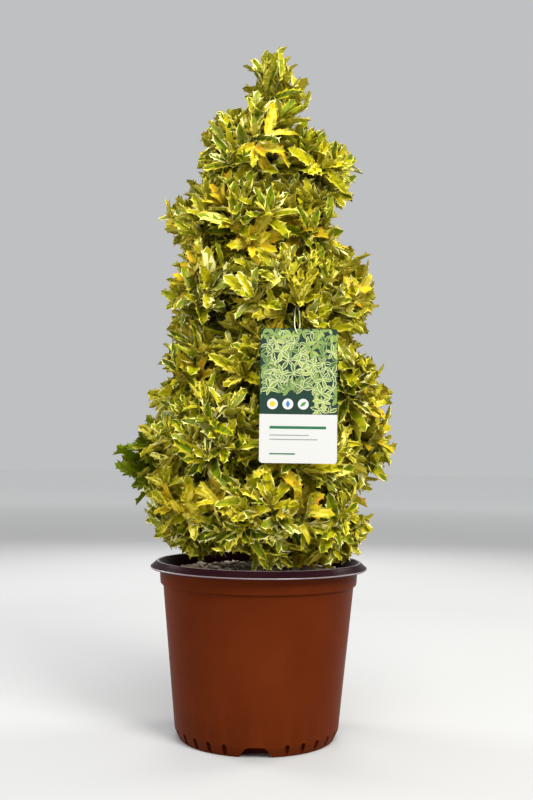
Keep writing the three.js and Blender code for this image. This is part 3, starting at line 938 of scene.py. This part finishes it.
def barkMaterial():
    material = plainMaterial("greyGreenBark", (0.15, 0.14, 0.07), 0.75)
    place = addNode(material, "TexCoord")
    stretch = addNode(material, "Mapping", {"Vector": (place, "Object"), "Scale": (1, 1, 0.35)})
    grain = addNode(material, "TexNoise", {"Vector": (stretch, "Vector"), "Scale": 220, "Detail": 6})
    tones = addRamp(material, (grain, "Fac"), (0.10, 0.075, 0.040), (0.36, 0.31, 0.18), 0.3, 0.72)
    bump = addNode(material, "Bump", {"Height": (grain, "Fac"), "Strength": 0.6, "Distance": 0.0006})
    setShader(material, {"Base Color": (tones, "Color"), "Normal": (bump, "Normal")})
    return material


def addRelief(piece, strength, size):
    texture = bpy.data.textures.new(f"{piece.name}Relief", "CLOUDS")
    texture.noise_scale = size * mm
    texture.noise_depth = 3
    applyModifier(piece, "SUBSURF", levels=1, render_levels=1)
    applyModifier(
        piece, "DISPLACE", texture=texture, texture_coords="LOCAL", strength=strength * mm, mid_level=0.5
    )
    smooth(piece, 60)


def join(pieces, name):
    selectNothing()
    for piece in pieces:
        piece.select_set(True)
    bpy.context.view_layer.objects.active = pieces[0]
    if len(pieces) > 1:
        bpy.ops.object.join()
    pieces[0].name = name
    return pieces[0]


barkTone = barkMaterial()
shares = np.linspace(0, 1, limbPlan["trunkRings"])
trunkRings = [(trunkAtShare(s), trunkRadius(s) * limbPlan["trunkShare"]) for s in shares]
trunkPiece = ringPiece("trunk_bark", trunkRings, limbPlan["trunkSides"])
trunkPiece.data.materials.append(barkTone)
addRelief(trunkPiece, limbPlan["relief"], limbPlan["grain"])
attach(trunkPiece, "root")
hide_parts("trunk")
swell, until = limbPlan["collar"]
for tierName in tierNames[:-1]:
    boughs = []
    members = [mass for mass in masses if mass["tier"] == tierName]
    for mass in members:
        rings = []
        for s in np.linspace(0, 1, limbPlan["boughRings"]):
            thick = mix(massPlan["bough"]["root"], massPlan["bough"]["tip"], s)
            thick = thick * (1 + swell * max(0, until - s))
            rings.append((bezierAt(mass["bough"], s), thick * limbPlan["boughShare"]))
        way = mass["bough"][2] - mass["bough"][0]
        bough = ringPiece("bough", rings, limbPlan["boughSides"], way)
        bough.data.materials.append(barkTone)
        boughs.append(bough)
    piece = join(boughs, f"boughs_{tierName}")
    addRelief(piece, limbPlan["boughRelief"], limbPlan["grain"])
    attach(piece, "root")
    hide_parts(*[f"bough_{mass['name']}" for mass in members])
print("limbs made")

# pot
potPlan = {
    # height and radius of each ring: up the outside, over the lip, down the inside and in over the floor
    "rings": [
        (0, 98.4), (0.5, 99.5), (1.7, 100.1), (11, 104.5), (12.6, 105.1), (75, 111.3), (135, 117.4),
        (191.4, 123.0), (192.8, 123.3), (193.4, 125.4), (194.3, 126.4), (195.8, 126.8), (203, 127.3),
        (210.8, 127.8), (211.8, 128.3), (212.3, 129.8), (212.8, 136), (213.2, 138.9), (213.9, 139.7),
        (214.7, 140), (215.5, 139.7), (216.1, 139.1), (218.2, 136.7), (220.9, 133.6), (221.9, 132.8),
        (222.7, 131.9), (223, 131), (222.8, 130.1), (222.1, 129.4), (217, 125.7), (212, 122.6),
        (193, 121.2), (105, 112.3), (20, 103.7), (18.2, 101), (18, 80.5), (16, 79.6), (3.8, 77), (3, 75),
    ],
    "sides": 128,
    "notch": {
        "count": 4, "low": 43.5, "high": 23, "top": 13, "under": 3, "inner": 80.5, "outer": 112, "round": 4,
    },
    "slots": {
        "bearings": (21, 33, 45, 57, 69), "width": 6.4, "low": 1.6, "high": 15, "inner": 97.6, "outer": 108,
    },
    # dark and light tone, roughness, and how strongly the surface bends light
    "plastics": [
        ("brownPlastic", (0.088, 0.0142, 0.0026), (0.105, 0.0178, 0.0034), 0.38, 1.08),
        ("plumPlastic", (0.0120, 0.0034, 0.0050), (0.0180, 0.0055, 0.0075), 0.24, 1.07),
        # the lighter plum on the thin lip edges is a painted highlight, not the plastic's own colour
        ("plumPaintedHighlight", (0.15, 0.112, 0.118), (0.24, 0.190, 0.195), 0.3, 1.4),
    ],
    "lipFrom": 212.2,  # the plum plastic begins at this height, and covers the inside wall
    "insideFrom": 20.5,
    "insideWall": ((20, 193), (104.4, 122)),  # heights, and the radii that the inside wall stays within
    "edges": (222.4, 139.72),  # the thin edges painted lighter, as painted highlight lines, are above this height or past this radius
}


def plasticMaterial(name, dark, light, roughness, bending):
    material = plainMaterial(name, light, roughness, bending=bending)
    place = addNode(material, "TexCoord")
    clouds = addNode(material, "TexNoise", {"Vector": (place, "Object"), "Scale": 14, "Detail": 5})
    tones = addRamp(material, (clouds, "Fac"), dark, light, 0.35, 0.7)
    gloss = addNode(material, "MapRange", {
        "Value": (clouds, "Fac"), "From Min": 0.3, "From Max": 0.7,
        "To Min": roughness - 0.05, "To Max": roughness + 0.08,
    })
    grain = addNode(material, "TexNoise", {"Vector": (place, "Object"), "Scale": 900, "Detail": 2})
    bump = addNode(material, "Bump", {"Height": (grain, "Fac"), "Strength": 0.15, "Distance": 0.0002})
    setShader(material, {
        "Base Color": (tones, "Color"), "Roughness": (gloss, "Result"), "Normal": (bump, "Normal"),
    })
    return material


def pick(piece, kind, wanted):  # goes into edit mode with only the wanted corners or edges selected
    selectOnly(piece)
    bpy.ops.object.mode_set(mode="EDIT")
    bpy.ops.mesh.select_mode(type=kind)
    bpy.ops.mesh.select_all(action="DESELECT")
    bpy.ops.object.mode_set(mode="OBJECT")
    for item in piece.data.vertices if kind == "VERT" else piece.data.edges:
        item.select = wanted(item)
    bpy.ops.object.mode_set(mode="EDIT")


def notchCutter():
    notch = potPlan["notch"]
    selectNothing()
    away, middle = (notch["inner"] + notch["outer"]) / 2 * mm, (notch["top"] - notch["under"]) / 2 * mm
    bpy.ops.mesh.primitive_cube_add(size=1, location=(0, -away, middle))
    cutter = bpy.context.active_object
    height = notch["top"] + notch["under"]
    cutter.scale = (notch["low"] * mm, (notch["outer"] - notch["inner"]) * mm, height * mm)
    settle(cutter)
    pick(cutter, "VERT", lambda corner: corner.co.z > middle)
    taper = notch["high"] / notch["low"]
    bpy.ops.transform.resize(value=(taper, 1, 1), center_override=(0, 0, notch["top"] * mm))
    editing(False)

    def upperSide(edge):
        a, b = (cutter.data.vertices[i].co for i in edge.vertices)
        return min(a.z, b.z) > middle and abs(a.x - b.x) < 0.1 * mm

    pick(cutter, "EDGE", upperSide)
    bpy.ops.mesh.bevel(offset=notch["round"] * mm, segments=5)
    editing(False)
    return cutter


def slotCutter():
    slots = potPlan["slots"]
    selectNothing()
    middle, away = slots["high"] - slots["width"] / 2, (slots["inner"] + slots["outer"]) / 2
    bpy.ops.mesh.primitive_cylinder_add(
        vertices=24, radius=slots["width"] / 2 * mm, depth=(slots["outer"] - slots["inner"]) * mm,
        location=(0, -away * mm, middle * mm), rotation=(math.radians(90), 0, 0),
    )
    cutter = bpy.context.active_object
    settle(cutter)
    pick(cutter, "VERT", lambda corner: corner.co.z < (middle - 0.1) * mm)
    drop = slots["high"] - slots["width"] - slots["low"]
    bpy.ops.transform.translate(value=(0, 0, -drop * mm))
    editing(False)
    return cutter


def turnedCopies(piece, bearings):
    copies = []
    for bearing in bearings:
        copy = piece.copy()
        copy.data = piece.data.copy()
        bpy.context.scene.collection.objects.link(copy)
        copy.rotation_euler = (0, 0, math.radians(bearing))
        settle(copy)
        copies.append(copy)
    bpy.data.objects.remove(piece)
    return copies


def cutAway(piece, cutters):
    cutter = join(cutters, "cutter")
    applyModifier(piece, "BOOLEAN", operation="DIFFERENCE", solver="EXACT", object=cutter)
    bpy.data.objects.remove(cutter)


notches = potPlan["notch"]["count"]
quarters = [i * 360 / notches for i in range(notches)]
potRings = [((0, 0, height), radius) for height, radius in potPlan["rings"]]
pot = ringPiece("pot_shell", potRings, potPlan["sides"])
cutAway(pot, turnedCopies(notchCutter(), quarters))
cutAway(pot, turnedCopies(slotCutter(), [q + b for q in quarters for b in potPlan["slots"]["bearings"]]))
pot.data.materials.clear()
for name, dark, light, roughness, bending in potPlan["plastics"]:
    pot.data.materials.append(plasticMaterial(name, dark, light, roughness, bending))
for face in pot.data.polygons:
    middle = face.center / mm
    outer = math.hypot(middle.x, middle.y)
    inside = middle.z > potPlan["insideFrom"] and outer < float(np.interp(middle.z, *potPlan["insideWall"]))
    # faces on the thin edges take the painted highlight, the rest brown or plum plastic
    edge = middle.z > potPlan["edges"][0] or outer > potPlan["edges"][1]
    face.material_index = 2 if edge else (1 if middle.z > potPlan["lipFrom"] or inside else 0)
smooth(pot, 32)
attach(pot, "root")
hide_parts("pot")
print("pot made:", len(pot.data.polygons), "faces")

# soil with bark chips
soilPlan = {
    # heights at the edge, on the flat and at the trunk, and how far out the slope and the mound reach
    "edge": 208, "flat": 212, "mound": 213, "slopeRadius": 112, "moundRadius": 34,
    "sides": 96, "rings": (115, 6, -4.5), "relief": 3.2, "grain": 14,
    "chips": {
        "count": 300, "radius": 108, "lengths": (7, 21), "widths": (0.18, 0.32), "thick": (0.8, 1.8),
        "vary": (0.7, 1.12), "pitch": 0.4, "roll": 0.3, "above": (0.4, 1.8), "seed": 77,
        "tones": [(0.40, 0.32, 0.23), (0.56, 0.465, 0.355), (0.28, 0.21, 0.145)],
    },
    "under": [
        (3.4, 74), (17.8, 78.6), (20.6, 102.2), (105, 110.9), (192, 119.8), (204, 120), (206.8, 119.2),
    ],
}


def soilMaterial():
    material = plainMaterial("pottingMix", (0.05, 0.035, 0.025), 0.95, specular=0.2)
    place = addNode(material, "TexCoord")
    crumbs = addNode(material, "TexVoronoi", {"Vector": (place, "Object"), "Scale": 260})
    noise = addNode(material, "TexNoise", {"Vector": (place, "Object"), "Scale": 120, "Detail": 8})
    tones = addRamp(material, (noise, "Fac"), (0.25, 0.20, 0.145), (0.60, 0.50, 0.385))
    bump = addNode(material, "Bump", {"Height": (crumbs, "Distance"), "Strength": 0.9, "Distance": 0.0015})
    setShader(material, {"Base Color": (tones, "Color"), "Normal": (bump, "Normal")})
    return material


def soilHeight(radius):
    plan = soilPlan
    radii = (0, plan["moundRadius"], plan["slopeRadius"])
    return float(np.interp(radius, radii, (plan["mound"], plan["flat"], plan["edge"])))


soilRings = list(soilPlan["under"])
soilRings += [(soilHeight(r), r) for r in np.arange(*soilPlan["rings"])]
soil = ringPiece("soil_bed", [((0, 0, height), radius) for height, radius in soilRings], soilPlan["sides"])
soil.data.materials.append(soilMaterial())
upper = soil.vertex_groups.new(name="surface")
lowest = (soilPlan["edge"] - 0.5) * mm
upper.add([corner.index for corner in soil.data.vertices if corner.co.z > lowest], 1.0, "REPLACE")
soilTexture = bpy.data.textures.new("soilRelief", "CLOUDS")
soilTexture.noise_scale = soilPlan["grain"] * mm
soilTexture.noise_depth = 4
applyModifier(
    soil, "DISPLACE", texture=soilTexture, texture_coords="LOCAL", direction="Z",
    strength=soilPlan["relief"] * mm, mid_level=0.45, vertex_group="surface",
)
smooth(soil, 45)
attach(soil, "root")
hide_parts("potting_soil")


def barkChips():
    plan = soilPlan["chips"]
    random = seeded(plan["seed"])
    pitch, roll = plan["pitch"], plan["roll"]
    box = np.array([(x, y, z) for x in (-1, 1) for y in (-1, 1) for z in (-1, 1)], float)
    quads = np.array([(0, 1, 3, 2), (4, 6, 7, 5), (0, 4, 5, 1), (2, 3, 7, 6), (0, 2, 6, 4), (1, 5, 7, 3)])
    points, faces, slots = [], [], []
    for i in range(plan["count"]):
        radius, bearing = plan["radius"] * math.sqrt(random(0.02, 1)), random(0, 2 * math.pi)
        length = random(*plan["lengths"])
        size = vec(length / 2, length * random(*plan["widths"]), random(*plan["thick"]))
        uneven = np.array([[random(*plan["vary"]) for _ in range(3)] for _ in range(8)])
        turn = Quaternion((0, 0, 1), random(0, math.pi)) @ Quaternion((1, 0, 0), random(-pitch, pitch))
        turn = turn @ Quaternion((0, 1, 0), random(-roll, roll))
        corners = (box * size * uneven) @ np.array(turn.to_matrix()).T
        height = soilHeight(radius) + random(*plan["above"])
        middle = vec(radius * math.cos(bearing), radius * math.sin(bearing), height)
        faces.append(quads + 8 * i)
        slots.append(np.full(6, oneOf(random, 3)))
        points.append(corners + middle)
    materials = []
    for i, tone in enumerate(plan["tones"]):
        materials.append(plainMaterial(f"barkChip{i + 1}", tone, 0.9, specular=0.2))
    return meshPiece("soil_chips", np.concatenate(points), faces, slots, materials)


chips = barkChips()
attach(chips, "root")
print("soil made")

# label with its loop
printPlan = {
    "pictureFrom": 57, "white": (0.50, 0.50, 0.485), "ground": (0.012, 0.034, 0.024), "layer": 0.05,
    "greens": [(0.28, 0.35, 0.08), (0.16, 0.25, 0.055), (0.08, 0.15, 0.04), (0.04, 0.09, 0.028)],
    "cream": (0.46, 0.49, 0.25), "paleGreen": (0.20, 0.27, 0.09),
    # sprigs on a loose grid: how many across and up, how far each is off its place, and its leaves
    "sprigs": {
        "across": 8, "up": 9, "loose": 3.4, "leaves": 5, "turnVary": 0.3, "out": 0.52,
        "lengths": (8, 13), "wide": 0.44, "middle": (0.84, 0.27), "corners": 12,
        "levels": 28, "stride": 11, "step": 0.02,  # each leaf lies at a level of its own
        "seed": 311, "clearOf": (64, 82),  # no leaf before this width and height, where the discs are
    },
    "discs": {
        "places": (15, 33, 51), "height": 69, "radius": 6.4, "layers": (0.62, 0.68),
        # on each disc: its name and colour, how long and wide in disc radii, how it is turned and how pointed
        "signs": [
            ("printYellow", (0.60, 0.42, 0.02), 1, 1, 0, 0),
            ("printBlue", (0.04, 0.16, 0.36), 1.25, 0.75, 90, 0.5),
            ("printLeafGreen", (0.05, 0.20, 0.05), 1.35, 0.6, 40, 0.5),
        ],
    },
    # left, foot, length and height of each rule
    "rules": [
        (12, 40, 66, 3.2, "green"), (12, 32, 46, 1.2, "grey"), (12, 27, 56, 1.2, "grey"),
        (12, 10, 30, 1.6, "green"),
    ],
    "ruleTones": {"green": (0.02, 0.12, 0.05), "grey": (0.22, 0.23, 0.22)},
    # how far printed leaves stay inside the picture, and how close two of their corners may be
    "edge": 0.6, "foot": 0.3, "corner": 3, "close": 0.05,
}


def flatSlab(name, outline, near, thick, material):
    # a thin closed slab in the label's plane: outline is points of (x, z), near its front face's y
    count = len(outline)
    front = [(x, near, z) for x, z in outline]
    back = [(x, near + thick, z) for x, z in outline]
    rim = np.array([(i, i + count, (i + 1) % count + count, (i + 1) % count) for i in range(count)])
    caps = np.array([list(range(count)), list(range(2 * count - 1, count - 1, -1))])
    slots = [np.zeros(count, int), np.zeros(2, int)]
    return meshPiece(name, np.array(front + back), [rim, caps], slots, [material])


def printTone(name, colour):
    return plainMaterial(name, colour, 0.45, specular=0.15)


def makeCard():
    plan = labelPlan
    selectNothing()
    middle = vec(plan["left"] + plan["width"] / 2, plan["front"], plan["bottom"] + plan["height"] / 2)
    bpy.ops.mesh.primitive_plane_add(size=1, rotation=(math.radians(90), 0, 0), location=middle * mm)
    piece = bpy.context.active_object
    piece.name = "label_card"
    piece.scale = (plan["width"] * mm, plan["height"] * mm, 1)
    settle(piece)
    pictureFoot = (plan["bottom"] + printPlan["pictureFrom"]) * mm
    editing(True)
    bpy.ops.mesh.bevel(offset=plan["corner"] * mm, segments=6, affect="VERTICES")
    bpy.ops.mesh.select_all(action="SELECT")
    bpy.ops.mesh.bisect(plane_co=(0, 0, pictureFoot), plane_no=(0, 0, 1), use_fill=False)
    editing(False)
    piece.data.materials.append(printTone("whiteCard", printPlan["white"]))
    piece.data.materials.append(printTone("pictureGround", printPlan["ground"]))
    for face in piece.data.polygons:
        face.material_index = 1 if face.center.z > pictureFoot else 0
    applyModifier(piece, "SOLIDIFY", thickness=plan["thick"] * mm, offset=-1)
    for face in piece.data.polygons:
        if face.normal.y > -0.9:
            face.material_index = 0
    selectNothing()
    bpy.ops.mesh.primitive_cylinder_add(
        vertices=32, radius=plan["holeRadius"] * mm, depth=6 * mm, rotation=(math.radians(90), 0, 0),
        location=Vector(holeMiddle) * mm,
    )
    punch = bpy.context.active_object
    settle(punch)
    cutAway(piece, [punch])
    return piece


card = makeCard()
smooth(card, 30)
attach(card, "root")
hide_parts("label")


def printPiece(outline, layer, tone):  # the outline is measured from the label's lower left corner
    points = [(labelPlan["left"] + x, labelPlan["bottom"] + z) for x, z in outline]
    near = labelPlan["front"] - layer - printPlan["layer"]
    return flatSlab("printPiece", points, near, printPlan["layer"], tone)


def oval(x, z, turn, length, wide, count, pointed=0.35):
    outline = []
    for k in range(count):
        angle = 2 * math.pi * k / count
        along = math.cos(angle) * length / 2
        aside = math.sin(angle) * wide / 2 * (1 - pointed * abs(math.cos(angle)))
        right = x + along * math.cos(turn) - aside * math.sin(turn)
        outline.append((right, z + along * math.sin(turn) + aside * math.cos(turn)))
    return outline


def cutToPicture(outline):  # nothing where too little of the leaf would be left
    width, top = labelPlan["width"], labelPlan["height"]
    least, corner, close = printPlan["edge"], printPlan["corner"], printPlan["close"]
    low, high = printPlan["pictureFrom"] + printPlan["foot"], top - least
    kept = []
    for x, z in outline:
        point = (min(max(x, least), width - least), min(max(z, low), high))
        if not kept or math.dist(point, kept[-1]) > close:
            kept.append(point)
    if math.dist(kept[0], kept[-1]) < close:
        kept.pop()
    cut = sum(point not in outline for point in kept)
    cornered = any(min(x, width - x) < corner and z > top - corner for x, z in kept)
    return None if cut > len(outline) / 2 or cornered else kept


def printedSprigs():
    greens = [printTone(f"printGreen{i + 1}", tone) for i, tone in enumerate(printPlan["greens"])]
    margins = [printTone("printCream", printPlan["cream"])]
    margins.append(printTone("printPaleGreen", printPlan["paleGreen"]))
    plan = printPlan["sprigs"]
    random = seeded(plan["seed"])
    places = []
    for row in range(plan["up"]):
        for column in range(plan["across"]):
            x = labelPlan["width"] * (column + 0.5 * (row % 2) + 0.25) / plan["across"]
            z = mix(printPlan["pictureFrom"], labelPlan["height"], (row + 0.5) / plan["up"])
            places.append((x + random(-1, 1) * plan["loose"], z + random(-1, 1) * plan["loose"]))
    vary, count = plan["turnVary"], plan["corners"]
    innerLong, innerWide = plan["middle"]
    pieces = []
    for number, (x, z) in enumerate(places):
        turn, margin = random(0, 2 * math.pi), margins[int(random(0, 1.6))]
        tone = oneOf(random, 3)
        for k in range(plan["leaves"]):
            heading = turn + 2 * math.pi * k / plan["leaves"] + random(-vary, vary)
            long = random(*plan["lengths"])
            mx, mz = x + math.cos(heading) * long * plan["out"], z + math.sin(heading) * long * plan["out"]
            rim = cutToPicture(oval(mx, mz, heading, long, long * plan["wide"], count))
            middle = cutToPicture(oval(mx, mz, heading, long * innerLong, long * innerWide, count))
            overDiscs = mx < plan["clearOf"][0] and mz < plan["clearOf"][1]
            if overDiscs or not rim or not middle:
                continue
            layer = plan["step"] * ((number * plan["stride"] + 2 * k) % plan["levels"])
            pieces.append(printPiece(rim, layer, margin))
            green = greens[tone + oneOf(random, 2)]
            pieces.append(printPiece(middle, layer + plan["step"] / 2, green))
    return pieces


def printedDiscs():
    plan = printPlan["discs"]
    white = printTone("printWhite", printPlan["white"])
    radius, height = plan["radius"], plan["height"]
    under, over = plan["layers"]
    pieces = []
    for x, (name, colour, long, wide, turn, pointed) in zip(plan["places"], plan["signs"]):
        pieces.append(printPiece(oval(x, height, 0, 2 * radius, 2 * radius, 28, 0), under, white))
        sign = oval(x, height, math.radians(turn), long * radius, wide * radius, 20, pointed)
        pieces.append(printPiece(sign, over, printTone(name, colour)))
    return pieces


def printedRules():
    tones = {
        "green": printTone("ruleGreen", printPlan["ruleTones"]["green"]),
        "grey": printTone("ruleGrey", printPlan["ruleTones"]["grey"]),
    }
    pieces = []
    for x, z, long, high, tone in printPlan["rules"]:
        outline = [(x, z), (x + long, z), (x + long, z + high), (x, z + high)]
        pieces.append(printPiece(outline, 0.0, tones[tone]))
    return pieces


def makePrint():
    pieces = printedSprigs() + printedDiscs() + printedRules()
    printed = join(pieces, "label_print")
    printed.data.polygons.foreach_set("use_smooth", [False] * len(printed.data.polygons))
    return printed


printed = makePrint()
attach(printed, "root")


def makeLoop():
    rings, sides = loopPlan["rings"], loopPlan["sides"]
    row = [splineAt(loopRoute, i / rings, closed=True) for i in range(rings)]
    points, fours = [], []
    across = squareTo(unit(row[1] - row[-1]))[0]
    for i, point in enumerate(row):
        way = unit(row[(i + 1) % rings] - row[i - 1])
        across = unit(across - way * np.dot(way, across))
        points += ringAround(point, across, cross(way, across), loopPlan["radius"], sides)
    ends = row[-1] - row[0]  # the last ring is joined to the first where their corners lie nearest
    shift = int(np.argmin([np.linalg.norm(points[-sides] - points[k] - ends) for k in range(sides)]))
    for i in range(rings):
        for k in range(sides):
            after, turn = (k + 1) % sides, (shift if i == rings - 1 else 0)
            low, high = i * sides, ((i + 1) % rings) * sides
            fours.append((low + k, low + after, high + (after + turn) % sides, high + (k + turn) % sides))
    cord = plainMaterial("paleThread", (0.66, 0.63, 0.42), 0.55)
    return meshPiece("label_thread", np.array(points), [np.array(fours)], [np.zeros(len(fours), int)], [cord])


loop = makeLoop()
smooth(loop, 80)
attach(loop, "root")
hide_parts("label_loop")
print("label made")

lowest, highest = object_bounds()
